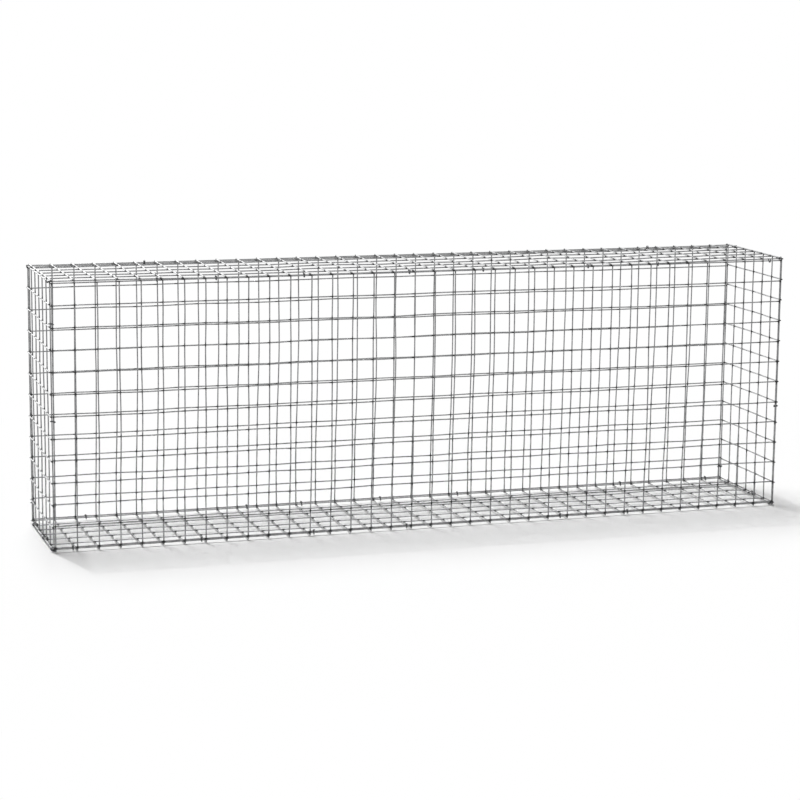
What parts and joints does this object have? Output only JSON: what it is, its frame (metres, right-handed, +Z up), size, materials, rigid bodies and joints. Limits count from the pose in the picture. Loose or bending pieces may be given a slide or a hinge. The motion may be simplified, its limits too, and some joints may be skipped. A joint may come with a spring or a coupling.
{
  "type": "gabion basket",
  "caption": "Long box of welded wire mesh with a lid hinged on its rear edge, ringed together along its edges and filled with stone to make a wall.",
  "frame": {"origin": "under the middle of the basket, at the level that it stands on", "axes": "+X along the basket, +Y from its front to the hinged edge at its back, +Z up"},
  "size_m": [1.8214, 0.3144, 0.6261],
  "materials": {
    "mesh_wire": "zinc coated wire, dull grey with a soft sheen",
    "ring_wire": "zinc coated wire, a little darker than the mesh"
  },
  "bodies": {
    "basket": {"front_panel": "mesh_wire", "back_panel": "mesh_wire", "left_end_panel": "mesh_wire", "right_end_panel": "mesh_wire", "base_panel": "mesh_wire", "lid_front_ring_01": "ring_wire", "lid_front_ring_02": "ring_wire", "lid_front_ring_03": "ring_wire", "lid_front_ring_04": "ring_wire", "lid_front_ring_05": "ring_wire", "lid_front_ring_06": "ring_wire", "lid_front_ring_07": "ring_wire", "lid_front_ring_08": "ring_wire", "lid_hinge_ring_01": "ring_wire", "lid_hinge_ring_02": "ring_wire", "lid_left_ring_01": "ring_wire", "lid_left_ring_02": "ring_wire", "lid_right_ring_01": "ring_wire", "lid_right_ring_02": "ring_wire", "base_front_ring_01": "ring_wire", "base_front_ring_02": "ring_wire", "base_front_ring_03": "ring_wire", "base_front_ring_04": "ring_wire", "base_front_ring_05": "ring_wire", "base_front_ring_06": "ring_wire", "base_back_ring_01": "ring_wire", "base_back_ring_02": "ring_wire", "base_back_ring_03": "ring_wire", "base_back_ring_04": "ring_wire", "base_back_ring_05": "ring_wire", "base_back_ring_06": "ring_wire", "base_back_ring_07": "ring_wire", "base_left_ring_01": "ring_wire", "base_left_ring_02": "ring_wire", "base_left_ring_03": "ring_wire", "base_right_ring_01": "ring_wire", "base_right_ring_02": "ring_wire", "base_right_ring_03": "ring_wire", "front_left_ring_01": "ring_wire", "front_left_ring_02": "ring_wire", "front_right_ring_01": "ring_wire", "back_left_ring_01": "ring_wire", "back_right_ring_01": "ring_wire"},
    "lid": {"lid_panel": "mesh_wire"}
  },
  "joints": [
    {"name": "lid_hinge", "type": "hinge", "parent": "basket", "child": "lid", "pos_m": [0, 0.15, 0.62072], "axis": [-1, 0, 0], "range_deg": [0, 100]}
  ]
}
